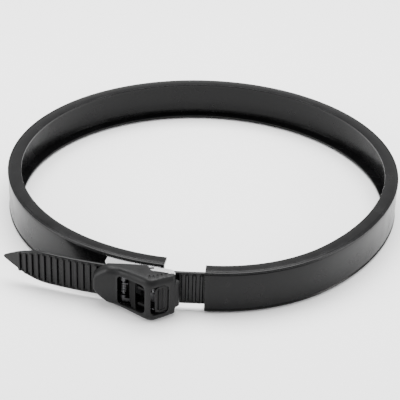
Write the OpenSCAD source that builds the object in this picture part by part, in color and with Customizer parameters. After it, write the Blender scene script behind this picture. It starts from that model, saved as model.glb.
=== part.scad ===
// Quick-release band clamp: channel ring, ladder strap and ratchet buckle.
// The ring lies flat around the Z axis; the buckle is at the -Y side.

/* [Ring] */
// Outer radius of the channel ring
ring_r = 150; // [125:1:200]
// Width of the channel along the ring's axis
band_w = 31.5; // [28:0.1:45]
// Wall thickness of the channel
band_t = 2; // [1.5:0.1:2.6]
// Depth of the channel's lips, wall included
lip_depth = 10; // [8:0.5:12]
// Thickness of the lips
lip_t = 2; // [1.5:0.1:2.8]
// How far the rims stand out of the outer face
rim_h = 0.4; // [0.2:0.1:0.8]
// Width of a rim, across which it rises from the outer face
rim_w = 1.6; // [1.4:0.1:2]

/* [Strap] */
// Thickness of the strap's web
strap_t = 1.8; // [1.5:0.1:2.3]
// Height of the rungs above the web
rung_h = 1.6; // [1.2:0.1:2]
// Distance between rungs along the web
rung_pitch = 4.905; // [4.5:0.005:6]
// Width of a rung at its foot
rung_foot = 2.6; // [2:0.1:2.7]
// Width of a rung at its crest
rung_crest = 1.6; // [1:0.1:1.8]

/* [Buckle] */
// Thickness of the steel base
steel_t = 1.2; // [0.8:0.01:1.5]
// Thickness of the lever's cap
lever_t = 2; // [1.4:0.1:2.2]
// Thickness of the lever's flanks
flank_t = 2.1; // [1.2:0.1:2.4]
// Radius of the lever's and the lock pawl's axles
axle_r = 1.5; // [1.2:0.1:1.8]
// Radius of the drive pawl's pin
pin_r = 1.25; // [1:0.05:1.4]

/* [Fits] */
// Running clearance of a pivot
run_c = 0.05; // [0.03:0.01:0.08]
// Gap between the base's floor and the ring's outer face
seat_gap = 0.05; // [0.03:0.01:0.1]
// Gap between the base and the rims beside it
rim_c = 0.05; // [0.05:0.05:0.5]
// Gap between the strap's edges and the ears that guide it
guide_c = 0.4; // [0.3:0.05:0.8]
// Gap between the axle ends and the lever's flanks
flank_c = 0.2; // [0.2:0.05:0.5]

/* [Hidden] */
$fn = 96;
half = band_w / 2;
// the strap slides on circles about the ring's back point; its inner face clears
// the base, whose end lies 0.8 lower there
back_y = ring_r;
strap_in = 2 * ring_r + steel_t - 0.8;
web_out = strap_in + strap_t;
crest = web_out + rung_h;
rail_out = crest - 0.8;
// the right-hand side of the ring widens through two more arcs, whose centres
// lie on whole-number triangles (35, 12, 37 and 20, 21, 29) so that they meet exactly;
// the angles are those of the triangles, cut to four places so that end faces coincide
arc1_c = [-35, 12];
arc1_r = ring_r + 37;
arc1_a = -18.9246;
arc2_c = arc1_c + 2.25 * [20, -21];
arc2_r = arc1_r - 2.25 * 29;
arc2_a = -46.3972;
right_a = -90 - 3.1 * 121.75 / arc2_r;

// the buckle's outlines are drawn for this ring and this crest, then carried
// to the real ones: angles about the back point shrink as the ring grows, so
// lengths along it stay, and distances follow the strap's crest and the axles
draft_r = 150;
draft_crest = 303.8;
draft_axle = 1.5;
k = draft_r / ring_r;
rise = crest - draft_crest + axle_r - draft_axle;

left_a = 270 - 9.5 * k;
base_a0 = 270 - 25.5 * k;
base_a1 = 270 - 10.8 * k;
rivet_as = [270 - 22.5 * k, 270 - 14 * k];
rivet_z = 6;
anchor_a = 3.6 * k;
// pivots, as drawn
lever_p = [-19.5, -159.8];
pawl_p = [-52, -152.4];
pawl_shoulder = [-58, -150.6];
drive_p = [-30.5, -160.9];
// where the pawl tips sit, in the valleys between rungs
pitch_a = rung_pitch / web_out * 180 / PI;
lock_a = 11.4 * k;
drive_a = lock_a - 3 * pitch_a;
// the strut of a pawl leans on the crest of the rung behind its tip
tip_lead = 1.665;
first_rung = lock_a - (tip_lead + rung_crest / 2) / crest * 180 / PI - 12 * pitch_a;
root_a = 1.6 * k;
a_end = 27.5 * k;

// across the strap: the base seats between the rims, and the ears, the strap
// between them, the pawls, webs and arms follow from its width
ear_out = half - rim_w - rim_c;
ear_in = ear_out - steel_t;
strap_w = 2 * (ear_in - guide_c);
anchor_z = strap_w / 2 - 6;
eye_out = ear_in - 2.3;
arm_out = ear_in - 2.4;
arm_in = arm_out - 2.5;
lane_out = arm_out + 0.4;
lane_in = arm_in - 0.3;
web_z1 = arm_in - 0.6;
web_z0 = web_z1 - 2;
drive_z = web_z0 - 0.3;
eye_in = web_z0 + 0.4;
tip_z = strap_w / 2 - 2.9;
pad_z = arm_out + 0.2;
inner_z = ear_out + flank_c;
lever_half = inner_z + flank_t + 0.4;

// round what turns on a pivot
hub_r = axle_r + 1.4;
arm_eye_r = axle_r + 0.9;
lock_eye_r = axle_r + 1.1;
spacer_r = axle_r + 0.7;
washer_r = axle_r + 1.3;
coil_r = axle_r + 0.55;
drive_eye_r = pin_r + 1.15;
drive_coil_r = pin_r + 0.47;

black = [0.05, 0.05, 0.055];
steel = [0.82, 0.82, 0.84];

// a point from its angle and its distance about the ring's back point
function hp(p) = [-p[1] * sin(p[0]), back_y - p[1] * cos(p[0])];
function hps(pts) = [for (p = pts) hp(p)];

// the same for points of the drawn outlines
function drawn(pts) = [for (p = pts) [-p[1] * sin(p[0]), draft_r - p[1] * cos(p[0])]];

// a drawn point carried to the real ring and strap, and the turn that goes with it
function angle_of(p) = atan2(-p[0], draft_r - p[1]);
function place(p) = hp([angle_of(p) * k, norm(p - [0, draft_r]) + rise]);
function turn(p) = angle_of(p) * (1 - k);
function places(pts) = [for (p = pts) place(p)];

// flat piece between two heights, from its drawn plan outline
module slab(pts, z0, z1) {
    plate(places(pts), z0, z1);
}

// the same from an outline that is already in place
module plate(pts, z0, z1) {
    translate([0, 0, z0]) linear_extrude(z1 - z0) polygon(pts);
}

// the same piece at both sides of the middle
module both(pts, z0, z1) {
    slab(pts, z0, z1);
    slab(pts, -z1, -z0);
}

module rod(p, r, z0, z1) {
    translate(concat(place(p), z0)) cylinder(r = r, h = z1 - z0);
}

module rod_both(p, r, z0, z1) {
    rod(p, r, z0, z1);
    rod(p, r, -z1, -z0);
}

// a cylinder on a radial line, at azimuth a and height z about centre c
module radial(c, a, r, d0, d1, z) {
    translate([c[0], c[1], z]) rotate([0, 0, a]) translate([d0, 0, 0])
        rotate([0, 90, 0]) cylinder(r = r, h = d1 - d0);
}

// channel section for an arc of outer radius r
module channel(r) {
    polygon([
        [r - lip_depth, -half], [r - 0.5, -half], [r + rim_h, -half + 0.7],
        [r + rim_h, -half + 1.2], [r, -half + rim_w], [r, half - rim_w],
        [r + rim_h, half - 1.2], [r + rim_h, half - 0.7], [r - 0.5, half],
        [r - lip_depth, half], [r - lip_depth, half - lip_t],
        [r - band_t, half - lip_t], [r - band_t, -half + lip_t],
        [r - lip_depth, -half + lip_t]]);
}

module clamp_band() {
    $fn = 240;
    color(black) difference() {
        union() {
            rotate_extrude(angle = left_a - arc1_a, start = arc1_a) channel(ring_r);
            translate([arc1_c[0], arc1_c[1], 0])
                rotate_extrude(angle = arc1_a - arc2_a, start = arc2_a) channel(arc1_r);
            translate([arc2_c[0], arc2_c[1], 0])
                rotate_extrude(angle = arc2_a - right_a, start = right_a) channel(arc2_r);
        }
        for (a = rivet_as)
            for (z = [-rivet_z, rivet_z]) radial([0, 0], a, 2.02, ring_r - 6, ring_r + 4, z);
        for (z = [-anchor_z, anchor_z]) anchor_bore(2.02, z);
    }
}

// line of an anchor rivet, square to the strap
module anchor_bore(r, z) {
    radial([0, back_y], 270 + anchor_a, r, strap_in - 10.4, crest + 8.2, z);
}

// plan outline of the ears above the band
ear_pts = concat(
    drawn([[12.6, 292], [12.6, 300.6], [12.2, 304.2], [11.6, 304.8]]),
    [[-54.6, -153.6], [-52, -155.3], [-48.5, -153.6]],
    drawn([[8.4, 305.2], [6.6, 306.2]]),
    [[-23.5, -160.4], [-21.4, -162], [-19.5, -162.5], [-17.6, -161.9],
     [-16.7, -159.8], [-16.9, -155.2], [-18.6, -151.6], [-27.6, -149.4],
     [-27.6, -140]]);

module buckle_base() {
    color(steel) difference() {
        union() {
            rotate_extrude(angle = base_a1 - base_a0, start = base_a0)
                translate([ring_r + seat_gap, -ear_out]) square([steel_t - seat_gap, 2 * ear_out]);
            difference() {
                both(ear_pts, ear_in, ear_out);
                translate([0, 0, -20]) cylinder(r = ring_r + seat_gap, h = 40);
            }
        }
        rod(lever_p, axle_r + 0.01, -20, 20);
        rod(pawl_p, axle_r + 0.01, -20, 20);
        for (a = rivet_as)
            for (z = [-rivet_z, rivet_z]) radial([0, 0], a, 2.02, ring_r - 6, ring_r + 8, z);
        // lightening slots in the ears
        for (s = [-1, 1])
            translate(concat(place([-36, -150.6]), s * (ear_out - steel_t / 2)))
                rotate([0, 0, 8 + turn([-36, -150.6])]) cube([9, 2.2, 3 * steel_t], center = true);
    }
}

module base_rivets() {
    color(steel)
        for (a = rivet_as)
            for (z = [-rivet_z, rivet_z]) {
                radial([0, 0], a, 2, ring_r - band_t - 1.7, ring_r + steel_t + 0.5, z);
                radial([0, 0], a, 3.6, ring_r + steel_t, ring_r + steel_t + 0.7, z);
                radial([0, 0], a, 3, ring_r - band_t - 1.9, ring_r - band_t - 0.9, z);
            }
}

module rivet_washers() {
    color(steel)
        for (a = rivet_as)
            for (z = [-rivet_z, rivet_z]) difference() {
                radial([0, 0], a, 4.2, ring_r - band_t - 0.85, ring_r - band_t - 0.1, z);
                radial([0, 0], a, 2.05, ring_r - 8, ring_r, z);
            }
}

module lever_axle() {
    color(steel) rod(lever_p, axle_r, -ear_out - 0.15, ear_out + 0.15);
}

module lever_axle_washers() {
    color(steel) difference() {
        rod_both(lever_p, washer_r, ear_in - 0.55, ear_in - 0.05);
        rod(lever_p, axle_r + run_c, -20, 20);
    }
}

module pawl_axle() {
    color(steel) rod(pawl_p, axle_r, -ear_out - 0.15, ear_out + 0.15);
}

module pawl_axle_spacers() {
    color(steel) difference() {
        rod_both(pawl_p, spacer_r, eye_out + 0.3, ear_in - 0.1);
        rod(pawl_p, axle_r + run_c, -20, 20);
    }
}

// a pawl's tip in the valley at angle a; its lower face keeps one slope, so it
// meets a crest of any height at the same place
function tip_pts(a) = drawn([for (p = [[-0.02, crest + 0.4], [0.09, web_out + 0.3],
    [-0.36 + 0.15625 * rung_h, web_out + 0.3], [-0.36, crest + 0.3]]) [a / k + p[0], p[1] - rise]]);

module lock_pawl() {
    color(steel) difference() {
        union() {
            rod_both(pawl_p, lock_eye_r, eye_in, eye_out);
            // strut and tip bar
            both(concat([[-50.2, -154.2], [-53.5, -154.6], pawl_shoulder],
                tip_pts(lock_a), [[-53.4, -150.3]]), eye_in, tip_z);
            slab(concat([[-57.2, -149.9], pawl_shoulder], tip_pts(lock_a)), -tip_z, tip_z);
            // tails
            both([[-52.6, -154.9], [-41.5, -157.1], [-41.2, -155.5], [-50, -151.9]], arm_in - 0.2, eye_out);
        }
        rod(pawl_p, axle_r + run_c, -20, 20);
    }
}

// round wire along a path; each point is [x, y, z] and no run is parallel to Z
module wire(path, r) {
    n = len(path);
    m = 8;
    function tang(i) = path[min(i + 1, n - 1)] - path[max(i - 1, 0)];
    pts = [for (i = [0:n - 1]) let (t = tang(i), l = norm([t[0], t[1]]), u = [-t[1] / l, t[0] / l, 0])
        for (j = [0:m - 1]) path[i] + r * cos(360 * j / m) * u + [0, 0, r * sin(360 * j / m)]];
    sides = [for (i = [0:n - 2]) for (j = [0:m - 1])
        [i * m + j, i * m + (j + 1) % m, (i + 1) * m + (j + 1) % m, (i + 1) * m + j]];
    polyhedron(points = pts, faces = concat([[for (j = [m - 1:-1:0]) j]], sides,
        [[for (j = [0:m - 1]) (n - 1) * m + j]]), convexity = 6);
}

// torsion spring: coil about a drawn point, with a straight leg at each end
module torsion(drawn_p, rc, rw, z0, z1, turns, drawn_a, leg0, leg1) {
    steps = ceil(turns * 14);
    p = place(drawn_p);
    a0 = drawn_a + turn(drawn_p);
    coil = [for (i = [0:steps]) let (a = a0 + 360 * turns * i / steps)
        [p[0] + rc * cos(a), p[1] + rc * sin(a), z0 + (z1 - z0) * i / steps]];
    a1 = a0 + 360 * turns;
    first = coil[0] + leg0 * [sin(a0), -cos(a0), 0];
    last = coil[steps] + leg1 * [-sin(a1), cos(a1), 0];
    wire(concat([first], coil, [last]), rw);
}

module lock_pawl_spring() {
    z = eye_in / 2 + 0.5;
    wire_r = 0.28;
    // one leg bears on the tip bar's shoulder, the other lies level, and both stay off the strap
    v = pawl_shoulder - pawl_p;
    a = atan2(v[1], v[0]) + acos((coil_r - wire_r - 0.03) / norm(v));
    color(steel) torsion(pawl_p, coil_r, wire_r, -z, z, 5 + (270 - a) / 360, a, 6.4, 3);
}

// plan outline of the lever, tip first, along the outside and back along the inside;
// the cap is thickest at its ridge
lever_top = [[-73.3, -150.2], [-72.6, -151.6], [-62, -154.8], [-55, -157.3], [-46, -163.3],
    [-38, -169.2], [-35, -171.1], [-32.5, -171.6], [-30, -170.9], [-24, -167.4], [-16.5, -162.8],
    [-14.4, -161], [-13.7, -159.4]];

module lever() {
    color(black) difference() {
        union() {
            lever_skin();
            // webs that carry the drive pawl's pin, and the hub
            both([[-42, -162.8], [-39, -165.2], [-36.6, -166.6], [-33.4, -167.6], [-32.9, -163.5],
                [-30.5, -163.3], [-25, -162.3], [-21, -162], [-17.4, -161.2], [-17.4, -157.6], [-21, -157.4],
                [-28, -158.2], [-33.2, -158.4], [-38, -160.6]], web_z0, web_z1);
            rod(lever_p, hub_r, -ear_in + 0.6, ear_in - 0.6);
        }
        // lanes for the tab's arms, and the pocket of its spring
        both([[-21.5, -163], [-19.5, -162.9], [-17.4, -162], [-16.3, -159.8], [-17, -150], [-26, -150],
            [-26, -163]], lane_in, lane_out);
        rod(lever_p, hub_r, lane_in - 3.9, lane_in);
        // bores right through the flanks, so that the axle and the pin can be put in
        rod(lever_p, axle_r + run_c, -half - 5, half + 5);
        rod(drive_p, pin_r + 0.01, -half - 5, half + 5);
    }
}

// cap and flanks as one hollow shape, with its openings
module lever_skin() {
    t = lever_t;
    difference() {
        intersection() {
            slab(concat(lever_top, [[-13.7, -158.2], [-15.2, -156], [-23, -156]],
                drawn([[6.35, 309], [6.6, 303], [11.6, 302.4]]), [[-71, -148.2]]), -half - 5, half + 5);
            lever_front();
        }
        // room inside for the ears and the pawls
        slab([[-70.5, -140], [-70.5, -149.3], [-61.4, -154.8 + t], [-54.2, -157.2 + t],
            [-45.1, -162.4 + t], [-37.1, -167.1 + t], [-34.6, -168.4 + t], [-32.4, -168.8 + t],
            [-30.4, -168.3 + t], [-21, -164.5 + t], [-21, -140]], -inner_z, inner_z);
        // the end block is open towards the strap, beside the hub
        both([[-25, -163.2], [-17, -163.2], [-12, -158], [-12, -140], [-25, -140]],
            ear_in - 0.55, ear_out + 0.25);
        // windows, with a bar between them
        for (w = [[-56.4, -48], [-42.6, -37]]) window(w[0], w[1], ear_in - 1.6, 1.6, 156);
        // recess of the release tab
        window(-32.9, -20.8, pad_z + 0.6, 0.7, 162.6);
    }
}

// front outline of the lever: spade-shaped tip, straight flanks, stepped end
module lever_front() {
    h = lever_half;
    upper = [[-73.3, h - 9.8], [-72.3, h - 6.8], [-68.5, h - 3.3], [-63, h - 0.6], [-56, h - 0.3],
        [-36, h], [-30, h], [-18, h - 0.8], [-16.6, h - 1.8], [-16.2, pad_z], [-13.7, pad_z - 0.5]];
    n = len(upper);
    outline = concat(upper, [for (i = [n - 1:-1:0]) [upper[i][0], -upper[i][1]]]);
    rotate([90, 0, 0]) translate([0, 0, ring_r - 20]) linear_extrude(60)
        polygon([for (p = outline) [place([p[0], -160])[0], p[1]]]);
}

// opening through the cap from a depth outwards, with its corners cut
module window(drawn_x0, drawn_x1, z, c, deep) {
    x0 = place([drawn_x0, -deep])[0];
    x1 = place([drawn_x1, -deep])[0];
    rotate([90, 0, 0]) translate([0, 0, -place([(drawn_x0 + drawn_x1) / 2, -deep])[1]]) linear_extrude(30)
        polygon([[x0, -z + c], [x0 + c, -z], [x1 - c, -z], [x1, -z + c],
            [x1, z - c], [x1 - c, z], [x0 + c, z], [x0, z - c]]);
}

module drive_pawl_pin() {
    color(steel) rod(drive_p, pin_r, -web_z1, web_z1);
}

module drive_pawl() {
    // the strut's two bends above the tip
    a = drive_a / k;
    bend = drawn([[a - 0.485, 305.67], [a - 1.087, 305.53]]);
    color(steel) difference() {
        union() {
            rod(drive_p, drive_eye_r, -drive_z, drive_z - 3.2);
            slab(concat([[-29.6, -158.8], [-31.4, -163], [-36, -160.2], bend[0]],
                tip_pts(drive_a), [bend[1]]), -drive_z, drive_z - 3.2);
            slab(concat([bend[0]], tip_pts(drive_a), [bend[1]]), -drive_z, drive_z);
        }
        rod(drive_p, pin_r + run_c, -20, 20);
    }
}

module drive_pawl_spring() {
    color(steel) torsion(drive_p, drive_coil_r, 0.24, drive_z - 2.7, drive_z - 0.4, 3.3, 200, 5, 3);
}

module release_tab() {
    color(black) difference() {
        union() {
            // pad with a raised frame and ribs
            slab([[-30, -165.1], [-30, -167.6], [-21.4, -164.6], [-21.4, -162.9]], -pad_z, pad_z);
            both([[-30, -165.2], [-30, -169], [-29.2, -169.2], [-21.6, -165.5], [-21.4, -163]],
                pad_z - 1.5, pad_z);
            for (r = [[-30, -29, -169.1], [-27.7, -26.9, -168.1], [-25.3, -24.5, -166.9],
                [-22.9, -22.1, -165.7]])
                slab([[r[0], r[2] + 1.9], [r[0], r[2]], [r[1], r[2] + 0.3], [r[1], r[2] + 1.9]],
                    -pad_z + 0.9, pad_z - 0.9);
            // arms to the axle and to the lock pawl's tails
            both([[-30, -165.8], [-31.4, -163.6], [-36, -162.2], [-42.8, -160.4], [-43.6, -158.2],
                [-42.8, -157.3], [-41, -157.6], [-30, -158.6], [-22, -157.6], [-19.5, -157.4],
                [-17.4, -159], [-17.6, -161], [-19.5, -162.2], [-21.4, -162.6], [-21.4, -163.6]],
                arm_in, arm_out);
            rod_both(lever_p, arm_eye_r, arm_in, arm_out);
        }
        rod(lever_p, axle_r + run_c, -20, 20);
    }
}

module release_tab_spring() {
    color(steel) torsion(lever_p, coil_r, 0.28, lane_in - 3.3, lane_in - 0.6, 4.2, 120, 1.2, 1.2);
}

// a drawn place along the strap, as its distance to the side of the middle
function along(x) = place([x, draft_r - sqrt(pow(draft_crest - 1.6, 2) - x * x)])[0];

module ladder_strap() {
    $fn = 480;
    z = strap_w / 2;
    rail = 1.9;
    // one side of the pointed tongue: place along the strap, and share of the half-width
    tongue = [[60, 1], [-108, 1], [-118, 0.85], [-124, 0.7], [-131.5, 0.43], [-136, 0.23], [-139.5, 0.07]];
    n = len(tongue);
    outline = concat(tongue, [for (i = [n - 1:-1:0]) [tongue[i][0], -tongue[i][1]]]);
    // rungs fill the strap from its root to where the tongue is too narrow
    n0 = ceil((-2.09 * k - first_rung) / pitch_a);
    n1 = floor((24.9 * k - first_rung) / pitch_a);
    color(black) difference() {
        intersection() {
            union() {
                translate([0, back_y, 0]) rotate_extrude(angle = a_end + 5.6 * k, start = 270 - a_end)
                    polygon([[strap_in, -z], [rail_out, -z], [rail_out, -z + rail], [web_out, -z + rail],
                        [web_out, z - rail], [rail_out, z - rail], [rail_out, z], [strap_in, z]]);
                for (n = [n0:n1]) rung(first_rung + pitch_a * n);
                // plain root under the ring's right end
                translate([0, back_y, 0]) rotate_extrude(angle = 4 * k, start = 270 + root_a)
                    translate([web_out - 0.2, -z]) square([crest - web_out, 2 * z]);
            }
            rotate([90, 0, 0]) linear_extrude(ring_r + 30) polygon([for (p = outline) [along(p[0]), z * p[1]]]);
        }
        for (s = [-anchor_z, anchor_z]) anchor_bore(2.02, s);
    }
}

module rung(a) {
    // half-widths as angles
    foot = rung_foot / 2 / web_out * 180 / PI;
    top = rung_crest / 2 / crest * 180 / PI;
    w = strap_w / 2 - 1.5;
    plate(hps([[a - foot, web_out - 0.3], [a + foot, web_out - 0.3], [a + foot, web_out],
        [a + top, crest], [a - top, crest], [a - foot, web_out]]), -w, w);
}

module anchor_plate() {
    color(steel) difference() {
        translate([0, back_y, 0]) rotate_extrude(angle = 3.6 * k, start = 270 + 1.8 * k)
            translate([strap_in - 1.25, -strap_w / 2 + 1.5]) square([1.2, strap_w - 3]);
        for (z = [-anchor_z, anchor_z]) anchor_bore(2.02, z);
    }
}

module anchor_rivets() {
    color(steel) for (z = [-anchor_z, anchor_z]) {
        intersection() {
            anchor_bore(2, z);
            // flush with the ring's outer face
            translate([arc2_c[0], arc2_c[1], -half]) cylinder(r = arc2_r, h = band_w);
            translate([0, back_y, -half]) difference() {
                cylinder(r = crest + 16, h = band_w);
                translate([0, 0, -1]) cylinder(r = strap_in - 1.6, h = band_w + 2);
            }
        }
        radial([0, back_y], 270 + anchor_a, 3.6, strap_in - 2.3, strap_in - 1.3, z);
    }
}

clamp_band();
buckle_base();
base_rivets();
rivet_washers();
lever_axle();
lever_axle_washers();
pawl_axle();
pawl_axle_spacers();
lock_pawl();
lock_pawl_spring();
lever();
drive_pawl_pin();
drive_pawl();
drive_pawl_spring();
release_tab();
release_tab_spring();
ladder_strap();
anchor_plate();
anchor_rivets();
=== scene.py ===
import bpy
import bmesh
import math
from mathutils import Matrix, Vector


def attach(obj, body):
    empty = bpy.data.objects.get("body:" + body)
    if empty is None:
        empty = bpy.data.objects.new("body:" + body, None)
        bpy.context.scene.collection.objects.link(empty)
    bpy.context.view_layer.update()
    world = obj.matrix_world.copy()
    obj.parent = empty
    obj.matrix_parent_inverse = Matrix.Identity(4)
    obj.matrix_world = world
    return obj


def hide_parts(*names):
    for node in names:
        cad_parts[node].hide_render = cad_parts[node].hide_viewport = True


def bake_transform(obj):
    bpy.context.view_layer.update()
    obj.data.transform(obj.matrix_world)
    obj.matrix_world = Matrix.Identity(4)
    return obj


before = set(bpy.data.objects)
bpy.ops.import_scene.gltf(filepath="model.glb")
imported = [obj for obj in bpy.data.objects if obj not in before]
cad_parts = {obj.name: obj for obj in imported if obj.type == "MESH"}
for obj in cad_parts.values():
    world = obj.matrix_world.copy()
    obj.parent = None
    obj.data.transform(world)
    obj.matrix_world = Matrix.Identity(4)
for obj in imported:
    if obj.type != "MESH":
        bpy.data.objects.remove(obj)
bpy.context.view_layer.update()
MM = 0.001

# ---------------------------------------------------------------- materials


def material(name, base, rough, metal=0.0, grain=900.0, bump=0.1, vary=0.25,
             stretch=(1, 1, 1), spec=0.5, wear=0.0, coat=0.0):
    """A procedural surface: colour and roughness vary at two scales, and the grain also bumps."""
    m = bpy.data.materials.new(name)
    m.use_nodes = True
    n, l = m.node_tree.nodes, m.node_tree.links
    n.clear()
    out = n.new("ShaderNodeOutputMaterial")
    sh = n.new("ShaderNodeBsdfPrincipled")
    l.new(sh.outputs["BSDF"], out.inputs["Surface"])
    sh.inputs["Metallic"].default_value = metal
    sh.inputs["Specular IOR Level"].default_value = spec
    sh.inputs["Coat Weight"].default_value = coat
    sh.inputs["Coat Roughness"].default_value = 0.3
    co = n.new("ShaderNodeTexCoord")
    mp = n.new("ShaderNodeMapping")
    mp.inputs["Scale"].default_value = stretch
    l.new(co.outputs["Object"], mp.inputs["Vector"])

    def noise(scale, detail):
        t = n.new("ShaderNodeTexNoise")
        t.inputs["Scale"].default_value = scale
        t.inputs["Detail"].default_value = detail
        l.new(mp.outputs["Vector"], t.inputs["Vector"])
        return t.outputs["Fac"]

    fine, broad = noise(grain, 4), noise(grain / 22, 3)
    ramp = n.new("ShaderNodeValToRGB")
    e = ramp.color_ramp.elements
    e[0].position, e[1].position = 0.3, 0.72
    e[0].color = (*[c * (1 - vary) for c in base], 1)
    e[1].color = (*[min(1, c * (1 + vary)) for c in base], 1)
    l.new(broad, ramp.inputs["Fac"])
    colour = ramp.outputs["Color"]
    if wear:
        geo = n.new("ShaderNodeNewGeometry")
        edge = n.new("ShaderNodeValToRGB")
        edge.color_ramp.elements[0].position = 0.52
        edge.color_ramp.elements[1].position = 0.62
        l.new(geo.outputs["Pointiness"], edge.inputs["Fac"])
        mix = n.new("ShaderNodeMix")
        mix.data_type = "RGBA"
        amount = n.new("ShaderNodeMath")
        amount.operation = "MULTIPLY"
        amount.inputs[1].default_value = wear
        l.new(edge.outputs["Color"], amount.inputs[0])
        l.new(amount.outputs[0], mix.inputs["Factor"])
        l.new(colour, mix.inputs["A"])
        mix.inputs["B"].default_value = (*[min(1, c * 2.5 + 0.006) for c in base], 1)
        colour = mix.outputs["Result"]
    l.new(colour, sh.inputs["Base Color"])
    rr = n.new("ShaderNodeMapRange")
    rr.inputs["From Min"].default_value = 0.3
    rr.inputs["From Max"].default_value = 0.7
    rr.inputs["To Min"].default_value = max(0.04, rough - 0.06)
    rr.inputs["To Max"].default_value = rough + 0.06
    l.new(broad, rr.inputs["Value"])
    l.new(rr.outputs["Result"], sh.inputs["Roughness"])
    b = n.new("ShaderNodeBump")
    b.inputs["Strength"].default_value = bump
    b.inputs["Distance"].default_value = 0.0002
    l.new(fine, b.inputs["Height"])
    l.new(b.outputs["Normal"], sh.inputs["Normal"])
    return m


BAND = material("band_plastic", (0.0028, 0.0028, 0.003), 0.24, grain=1500, bump=0.06, vary=0.2,
                spec=0.15, wear=0.3)
LEVER = material("lever_plastic", (0.005, 0.005, 0.0052), 0.4, grain=2600, bump=0.22, vary=0.15,
                 spec=0.14, wear=0.35)
# A darker copy of the lever's plastic for the bar, webs and tab arms inside the lever: the darker colour
# is painted shade.
LEVER_PAINTED_SHADE = material("lever_plastic_painted_shade", (0.002, 0.002, 0.0021), 0.5, grain=2600, bump=0.2, vary=0.15, spec=0.1)
STRAP = material("strap_plastic", (0.0022, 0.0022, 0.0024), 0.3, grain=420, bump=0.6, vary=0.3,
                 spec=0.2, wear=0.35)
BRIGHT = material("bright_sheet", (0.95, 0.95, 0.96), 0.24, metal=1, grain=1400, bump=0.06, vary=0.04,
                  stretch=(0.1, 0.1, 1))
ZINC = material("zinc_plated", (0.72, 0.73, 0.75), 0.36, metal=1, grain=1500, bump=0.08, vary=0.1)
# Steel for the pawls, their axle, spacers and pin; its near-black colour is painted shade for the inside
# of the lever.
STEEL_PAINTED_SHADE = material("hardened_steel_painted_shade", (0.05, 0.05, 0.052), 0.42, metal=1, grain=1200, bump=0.1, vary=0.15)
WIRE = material("spring_wire", (0.3, 0.3, 0.31), 0.3, metal=1, grain=1600, bump=0.05, vary=0.08)
FLOOR = material("pale_floor", (0.94, 0.94, 0.94), 0.85, grain=60, bump=0.0, vary=0.01, spec=0.1)

# ------------------------------------------------------------- mesh helpers


def add(name, verts, faces, mat, smooth=True, sharp=35):
    """A mesh piece from points in millimetres."""
    me = bpy.data.meshes.new(name)
    me.from_pydata([[c * MM for c in v] for v in verts], [], faces)
    bm = bmesh.new()
    bm.from_mesh(me)
    bmesh.ops.remove_doubles(bm, verts=bm.verts, dist=1e-7)
    bmesh.ops.recalc_face_normals(bm, faces=bm.faces)
    bm.to_mesh(me)
    bm.free()
    o = bpy.data.objects.new(name, me)
    bpy.context.collection.objects.link(o)
    me.materials.append(mat)
    if smooth:
        shade(o, sharp)
    return o


def shade(o, sharp=35):
    """Smooth shading, with edges sharper than the angle kept."""
    o.data.shade_smooth()
    o.data.set_sharp_from_angle(angle=math.radians(sharp))


def grid(rows, closed_u=False, caps=True):
    """Vertices and faces from equal rings of points; each ring is a closed loop."""
    n, m = len(rows), len(rows[0])
    v = [p for r in rows for p in r]
    f = []
    for i in range(n - 1 + closed_u):
        a, b = i * m, ((i + 1) % n) * m
        f += [(a + j, a + (j + 1) % m, b + (j + 1) % m, b + j) for j in range(m)]
    if caps and not closed_u:
        f += [tuple(range(m)), tuple(range((n - 1) * m, n * m))]
    return v, f


def prism(name, pts, z0, z1, mat, bevel=0.25, segments=2, up="z"):
    """A slab from its outline in mm, drawn up z, or else along y."""
    if up == "z":
        rows = [[(x, y, z) for x, y in pts] for z in (z0, z1)]
    else:
        rows = [[(x, y, z) for x, z in pts] for y in (z0, z1)]
    o = add(name, *grid(rows), mat, smooth=False)
    if bevel:
        soften(o, bevel, segments)
    return o


def soften(o, width, segments=2, angle=30):
    """Small rounds, width in mm, on the edges sharper than the angle."""
    b = o.modifiers.new("edges", "BEVEL")
    b.width = width * MM
    b.segments = segments
    b.limit_method = "ANGLE"
    b.angle_limit = math.radians(angle)
    b.miter_outer = "MITER_ARC"
    b.harden_normals = False
    o.data.shade_smooth()
    o.data.set_sharp_from_angle(angle=math.radians(50))


def cut(o, tool):
    """Subtracts the tool from the object, keeping nothing of the tool."""
    m = o.modifiers.new("cut", "BOOLEAN")
    m.operation = "DIFFERENCE"
    m.solver = "EXACT"
    m.object = tool
    dg = bpy.context.evaluated_depsgraph_get()
    me = bpy.data.meshes.new_from_object(o.evaluated_get(dg))
    o.modifiers.clear()
    old = o.data
    o.data = me
    bpy.data.meshes.remove(old)
    bpy.data.objects.remove(tool)


def rounded(x0, x1, z0, z1, r, k=5):
    """Outline of a rectangle with round corners."""
    out = []
    corners = ((x1 - r, z1 - r, 0), (x0 + r, z1 - r, 90), (x0 + r, z0 + r, 180), (x1 - r, z0 + r, 270))
    for cx, cz, a0 in corners:
        for i in range(k + 1):
            a = math.radians(a0 + 90 * i / k)
            out.append((cx + r * math.cos(a), cz + r * math.sin(a)))
    return out


def smooth_step(t):
    """0 to 1 with level ends."""
    t = min(1.0, max(0.0, t))
    return t * t * (3 - 2 * t)


def between(x, table):
    """Reads a value from (x, value) pairs, on straight lines between them."""
    if x <= table[0][0]:
        return table[0][1]
    for (x0, v0), (x1, v1) in zip(table, table[1:]):
        if x <= x1:
            return v0 + (v1 - v0) * (x - x0) / (x1 - x0)
    return table[-1][1]


BACK_Y = 150.0


def hp(a, rho, z=0.0):
    """A point from its angle and distance about the ring's back point."""
    t = math.radians(a)
    return (-rho * math.sin(t), BACK_Y - rho * math.cos(t), z)


# ------------------------------------------------------------- channel ring

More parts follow.
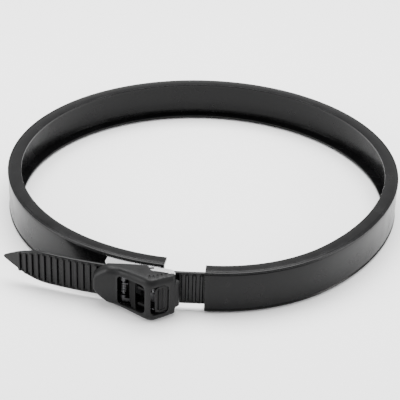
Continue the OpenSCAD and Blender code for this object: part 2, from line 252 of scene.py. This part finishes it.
# half of the channel's section: distance outwards from the wall's face, and height
half_section = [(-2.0, 0.0), (-2.0, 6.5), (-2.0, 12.9), (-2.12, 13.45), (-2.6, 13.72), (-5.5, 13.75),
                (-9.6, 13.78), (-9.93, 13.95), (-10.0, 14.3), (-10.0, 15.3), (-9.88, 15.62), (-9.5, 15.75),
                (-5.5, 15.75), (-2.15, 15.75), (-1.85, 15.68), (-1.62, 15.42), (-1.38, 15.36),
                (-1.12, 15.48), (-0.85, 15.7), (-0.35, 15.68), (0.1, 15.45), (0.36, 15.1), (0.38, 14.75),
                (0.18, 14.45), (-0.12, 14.24), (-0.26, 14.02), (-0.2, 13.78), (-0.05, 13.55), (0.0, 13.1),
                (0.0, 9.0), (0.0, 4.5)]
section = half_section + [(0.0, 0.0)] + [(d, -z) for d, z in reversed(half_section)][:-1]
# centre, radius and end angles of each stretch of the wall's outer face
arcs = [((10.0, -35.25), 121.75, -93.1, -46.3972), ((-35.0, 12.0), 187.0, -46.3972, -18.9246),
        ((0.0, 0.0), 150.0, -18.9246, 260.5)]
rows = []
for (cx, cy), r, a0, a1 in arcs:
    n = max(8, int((a1 - a0) / 1.25))
    for i in range(n + (a1 > 200)):
        a = math.radians(a0 + (a1 - a0) * i / n)
        rows.append([(cx + (r + d) * math.cos(a), cy + (r + d) * math.sin(a), z) for d, z in section])
ring = add("ring_channel", *grid(rows), BAND, sharp=40)
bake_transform(ring)
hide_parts("clamp_band")

# ------------------------------------------------------------- ladder strap

# pitch and first rung in degrees about the ring's back point, and the strap's
# faces as distances from it
PITCH = 0.929966
FIRST = 11.4 - 0.464894 - 12 * PITCH
FIRST_RUNG, LAST_RUNG = -2, 27
WEB, CREST, INNER, RAIL = 302.2, 303.8, 300.4, 303.0
# distance along the tongue, and half-width there
TONGUE = [(106, 12.5), (110, 12.35), (114, 11.7), (118, 10.7), (124, 8.8), (128, 7.2), (131.5, 5.4),
          (134, 4.1), (136, 2.9), (138, 1.7), (139.3, 0.75)]


def strap_half(a):
    """Half-width of the strap at an angle: full, then tapering into the tongue."""
    x = 302 * math.sin(math.radians(a))
    return max(0.7, between(x, TONGUE))


def strap_top(a, z, half):
    """Distance of the strap's outer face from the back point."""
    k = round((a - FIRST) / PITCH)
    edge = half - abs(z)
    rail = smooth_step((2.1 - edge) / 0.5) * smooth_step((half - 6) / 4)
    if a < -1.6:
        base = CREST - 0.2
    else:
        d = abs(a - FIRST - PITCH * k) / 180 * math.pi * WEB
        up = smooth_step((1.24 - d) / 0.46) if FIRST_RUNG <= k <= LAST_RUNG else 0.0
        up *= smooth_step((edge - 1.0 * smooth_step((half - 8) / 3)) / 0.5)
        base = WEB + max((RAIL - WEB) * rail, (CREST - WEB) * up)
    return base - 0.45 * (1 - smooth_step(edge / 0.45))


z_share = [0, 0.012, 0.03, 0.055, 0.08, 0.105, 0.13, 0.16, 0.2, 0.3, 0.4, 0.5]
z_share += [1 - s for s in reversed(z_share[:-1])]
rows = []
a = -5.6
while a < 27.45:
    h = strap_half(a)
    ring_pts = [hp(a, strap_top(a, h * (2 * s - 1), h), h * (2 * s - 1)) for s in z_share]
    under = [hp(a, INNER + 0.35, h), hp(a, INNER, h - 0.4), hp(a, INNER, 0),
             hp(a, INNER, -h + 0.4), hp(a, INNER + 0.35, -h)]
    rows.append(ring_pts + under)
    a += 0.06 if a > -1.8 else 0.4
strap = add("strap_body", *grid(rows), STRAP, sharp=50)
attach(strap, "strap_end")
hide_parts("ladder_strap")

# -------------------------------------------------------------------- lever

# the cap's y along x, and the lever's half-width along x
cap_y = [(-73.3, -150.6), (-72.4, -151.5), (-68, -152.9), (-62, -154.8), (-58, -156.1), (-55, -157.4),
         (-50, -160.6), (-46, -163.3), (-42, -166.2), (-38, -169.1), (-36.4, -170.2), (-35, -170.9),
         (-33.6, -171.4), (-32.5, -171.5), (-31, -171.2), (-29, -170.2), (-24, -167.3), (-20, -164.95),
         (-17, -163.1), (-15.4, -162.0), (-14.4, -161.0), (-13.7, -159.6)]
half_w = [(-73.3, 5.8), (-72.9, 7.0), (-72, 8.3), (-70.3, 9.9), (-68, 11.7), (-65, 13.6), (-64, 14.3),
          (-62, 14.6), (-58.5, 15.0), (-54, 15.6), (-48, 16.1), (-36, 16.8), (-28, 16.7), (-22, 16.3),
          (-18, 15.9), (-17.2, 15.5), (-16.7, 14.4), (-16.4, 11.2), (-16.0, 10.5), (-14.5, 10.2),
          (-13.7, 9.9)]
# distance about the back point of the flank's lower edge
flank_low = [(-73.3, 304.5), (-68, 303.4), (-62, 302.6), (-37, 302.8), (-35.6, 303.4), (-34.6, 305),
             (-34, 307.6), (-33, 309.0), (-26, 309.4), (-19, 309.6), (-16.6, 309.4), (-13.7, 309.0)]


def on_rho(x, rho):
    """The y at x on a circle about the ring's back point."""
    return BACK_Y - math.sqrt(rho * rho - x * x)


def shell_row(x, inset):
    """Section of the lever's skin at x, moved inwards by inset; from one lower edge to the other."""
    y, w = between(x, cap_y) + inset, between(x, half_w) - inset
    low = on_rho(x, between(x, flank_low))
    depth = max(0.3, low - y)
    rc = min(4.6, w * 0.8, depth * 0.8)
    pts = [(x, low, w)]
    for i in range(1, 4):
        pts.append((x, low + (y + rc - low) * i / 4, w + 0.12 * i / 4))
    for i in range(9):
        t = math.radians(90 * i / 8)
        pts.append((x, y + rc - rc * math.sin(t), w - rc + rc * math.cos(t)))
    crown = 0.35
    pts = [(px, py + crown * (abs(pz) / w) ** 2 * (py < low - 0.3), pz) for px, py, pz in pts]
    return pts + [(px, py, -pz) for px, py, pz in reversed(pts)]


extra_x = [-71, -66.5, -60, -52.5, -44, -40, -26.5]
xs = sorted(set([x for x, _ in cap_y] + [x for x, _ in half_w] + extra_x))
WALL = 1.7
rows = []
for x in xs:
    outer = shell_row(x, 0.0)
    xi = min(max(x, -71.2), -15.2)
    inner = shell_row(xi, WALL)
    rows.append(outer + list(reversed(inner)))
lever = add("lever_shell", *grid(rows), LEVER, sharp=30)

# the window and the tab's recess, as rounded prisms through the cap
for x0, x1, h, r in ((-56.4, -37.0, 11.4, 3.0), (-32.9, -20.8, 11.4, 3.4)):
    floor_y = -154 if x0 < -50 else -161.4
    tool = prism("tool", rounded(x0, x1, -h, h, r), -175, floor_y, LEVER, bevel=0, up="y")
    cut(lever, tool)
# shallow grip grooves along both flanks near the ridge
for i in range(6):
    x = -34.0 + 2.7 * i
    for s in (-1, 1):
        y, w = between(x, cap_y), between(x, half_w)
        pts = [(x + 0.95 * math.cos(math.radians(t)), y + 4.4 + 3.6 * math.sin(math.radians(t)))
               for t in range(0, 360, 24)]
        z0, z1 = sorted((s * (w - 0.45), s * (w + 1.5)))
        cut(lever, prism("tool", pts, z0, z1, LEVER, bevel=0))
soften(lever, 0.35, 3, angle=38)
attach(lever, "lever_arm")
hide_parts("lever")

# bowed bar across the window, set a little below the cap, in the darker copy of the lever's plastic as
# painted shade
rows = []
for i in range(17):
    z = -11.6 + 23.2 * i / 16
    bow = 1.7 * (1 - (z / 11.6) ** 2)
    deep = 2.0 + 1.5 * (1 - (z / 11.6) ** 4)
    x0, x1 = -46.6 - bow, -42.6 - 0.3 * bow
    y0, y1 = between(x0, cap_y) + deep, between(x1, cap_y) + deep
    rows.append([(x0, y0 + 0.9, z), (x0 + 0.3, y0 + 0.2, z), (x0 + 1.0, y0 - 0.1, z),
                 ((x0 + x1) / 2, (y0 + y1) / 2 - 0.2, z), (x1 - 0.8, y1, z), (x1 - 0.2, y1 + 0.3, z),
                 (x1, y1 + 0.9, z), (x1 - 0.2, y1 + 1.7, z), (x0 + 0.4, y0 + 1.9, z)])
bar = add("lever_bar", *grid(rows), LEVER_PAINTED_SHADE, sharp=60)
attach(bar, "lever_arm")

# webs and hub inside the lever; the webs take the darker copy of the lever's plastic as painted shade
web = [(-42, -162.8), (-39, -165.0), (-36.6, -166.4), (-33.4, -167.2), (-32.9, -163.5), (-30.5, -163.3),
       (-25, -162.3), (-21, -162), (-17.4, -161.2), (-17.4, -157.6), (-21, -157.4), (-28, -158.2),
       (-33.2, -158.4), (-38, -160.6)]
for side, z0, z1 in (("a", -7.4, -5.4), ("b", 5.4, 7.4)):
    o = prism(f"lever_web_{side}", web, z0, z1, LEVER_PAINTED_SHADE, bevel=0.3)
    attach(o, "lever_arm")
hub_outline = [(-20.9, -163.9), (-17.6, -162.3), (-15.2, -160.9), (-14.1, -159.2), (-14.9, -157.2),
               (-17.2, -156.2), (-20.4, -156.6), (-20.9, -158.4)]
hub = prism("lever_hub", hub_outline, -10.2, 10.2, LEVER, bevel=0.7, segments=3)
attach(hub, "lever_arm")

# -------------------------------------------------------------- release tab

TAB = "release"


def pad_top(x):
    """The y of the tab's outer face at x, a little inside the cap."""
    return between(x, cap_y) + 1.3


pad = [(-30.0, -165.1), (-30.0, -167.6), (-27, -166.5), (-21.4, -164.6), (-21.4, -162.9)]
tab_pieces = [prism("tab_pad", pad, -10.7, 10.7, LEVER, bevel=0.25)]
frame_out = rounded(-30.2, -21.5, -10.6, 10.6, 4.0, 7)
frame_in = rounded(-28.6, -23.1, -8.7, 8.7, 2.2, 7)
rows = [[(x, pad_top(x), z) for x, z in frame_out], [(x, pad_top(x) + 2.1, z) for x, z in frame_out],
        [(x, pad_top(x) + 2.1, z) for x, z in frame_in], [(x, pad_top(x), z) for x, z in frame_in]]
o = add("tab_frame", *grid(rows, closed_u=True), LEVER, smooth=False)
soften(o, 0.5, 3)
tab_pieces.append(o)
for i, x in enumerate((-27.0, -24.7)):
    y = pad_top(x)
    pts = [(x - 0.8, y + 2.4), (x - 0.6, y + 0.5), (x - 0.25, y), (x + 0.25, y + 0.1), (x + 0.6, y + 0.7),
           (x + 0.8, y + 2.4)]
    tab_pieces.append(prism(f"tab_rib_{i}", pts, -9.2, 9.2, LEVER, bevel=0.2))
arm = [(-30, -165.4), (-31.4, -163.6), (-36, -162.2), (-42.8, -160.4), (-43.6, -158.2), (-42.8, -157.3),
       (-41, -157.6), (-30, -158.6), (-22, -157.6), (-19.5, -157.4), (-17.4, -159), (-17.6, -161),
       (-19.5, -162.2), (-21.4, -162.6), (-21.4, -163.2)]
# the tab's arms take the darker copy of the lever's plastic as painted shade
for side, z0, z1 in (("a", -10.5, -8), ("b", 8, 10.5)):
    tab_pieces.append(prism(f"tab_arm_{side}", arm, z0, z1, LEVER_PAINTED_SHADE, bevel=0.3))
for o in tab_pieces:
    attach(o, TAB)
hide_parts("release_tab")

# ----------------------------------------------------- steel pieces from CAD

# the pawls, their axle, spacers and pin take the near-black steel, which is painted shade inside the lever
looks = {"buckle_base": BRIGHT, "base_rivets": ZINC, "rivet_washers": ZINC, "lever_axle": ZINC,
         "lever_axle_washers": ZINC, "pawl_axle": STEEL_PAINTED_SHADE, "pawl_axle_spacers": STEEL_PAINTED_SHADE, "lock_pawl": STEEL_PAINTED_SHADE,
         "lock_pawl_spring": WIRE, "drive_pawl_pin": STEEL_PAINTED_SHADE, "drive_pawl": STEEL_PAINTED_SHADE, "drive_pawl_spring": WIRE,
         "release_tab_spring": WIRE, "anchor_plate": ZINC, "anchor_rivets": BAND}
for node, mat in looks.items():
    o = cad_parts[node]
    for s in o.material_slots:
        s.material = mat
    if not o.material_slots:
        o.data.materials.append(mat)
    if "spring" not in node and node not in ("rivet_washers", "anchor_rivets", "anchor_plate"):
        b = o.modifiers.new("edges", "BEVEL")
        b.width = 0.18 * MM
        b.segments = 2
        b.limit_method = "ANGLE"
        b.angle_limit = math.radians(35)

# torsion springs: smooth-shaded copies of the CAD coils, fixed in the world where the CAD puts them;
# the two bodies and heights listed with each are not used
for node, a, b, z0, z1 in (("lock_pawl_spring", "lock_pawl_arm", "ring", -3.1, 3.1),
                           ("drive_pawl_spring", "drive_pawl_arm", "lever_arm", 2.66, 4.44),
                           ("release_tab_spring", "lever_arm", "release", 4.7, 6.8)):
    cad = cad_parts[node]
    coil = bpy.data.objects.new(node.replace("spring", "coil"), cad.data.copy())
    bpy.context.collection.objects.link(coil)
    coil.matrix_world = cad.matrix_world.copy()
    shade(coil, 60)
    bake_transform(coil)
    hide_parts(node)

# --------------------------------------------------- floor, light and camera

FLOOR_HALF = 6.0
FLOOR_Z = -0.0170
me = bpy.data.meshes.new("floor")
me.from_pydata([(x * FLOOR_HALF, y * FLOOR_HALF, 0) for x, y in ((-1, -1), (1, -1), (1, 1), (-1, 1))],
               [], [(0, 1, 2, 3)])
floor = bpy.data.objects.new("floor", me)
floor.location = (0, 0, FLOOR_Z)
bpy.context.collection.objects.link(floor)
me.materials.append(FLOOR)

world = bpy.data.worlds.new("studio")
bpy.context.scene.world = world
world.use_nodes = True
bg = world.node_tree.nodes["Background"]
bg.inputs["Color"].default_value = (1, 1, 1, 1)
bg.inputs["Strength"].default_value = 1.0


def lamp(name, where, at, size, power):
    """A soft rectangular light that points at a place."""
    d = bpy.data.lights.new(name, "AREA")
    d.shape = "RECTANGLE"
    d.size, d.size_y = size
    d.energy = power
    o = bpy.data.objects.new(name, d)
    o.location = where
    o.rotation_euler = (Vector(at) - Vector(where)).to_track_quat("-Z", "Y").to_euler()
    bpy.context.collection.objects.link(o)


lamp("top_light", (0.0, 0.3, 1.1), (0, 0, 0), (1.3, 0.9), 44)
lamp("left_light", (-0.9, -0.25, 0.3), (0, 0, 0), (0.4, 0.5), 7)
lamp("right_light", (0.95, -0.2, 0.3), (0, 0, 0), (0.4, 0.5), 7)

cam = bpy.data.cameras.new("camera")
cam_o = bpy.data.objects.new("camera", cam)
bpy.context.collection.objects.link(cam_o)
bpy.context.scene.camera = cam_o
SENSOR, FRAME_PX, FOCAL_PX = 36, 400, 1421.155
ROLL = math.radians(1.684)
cam.sensor_width = SENSOR
cam.lens = FOCAL_PX * SENSOR / FRAME_PX
eye = Vector((0, -0.967578, 0.540555))
aim = Vector((-0.0017325, -0.0307565, 0))
look = (aim - eye).to_track_quat("-Z", "Y").to_matrix().to_4x4()
cam_o.matrix_world = Matrix.Translation(eye) @ look @ Matrix.Rotation(ROLL, 4, "Z")
cam.clip_start, cam.clip_end = 0.01, 50
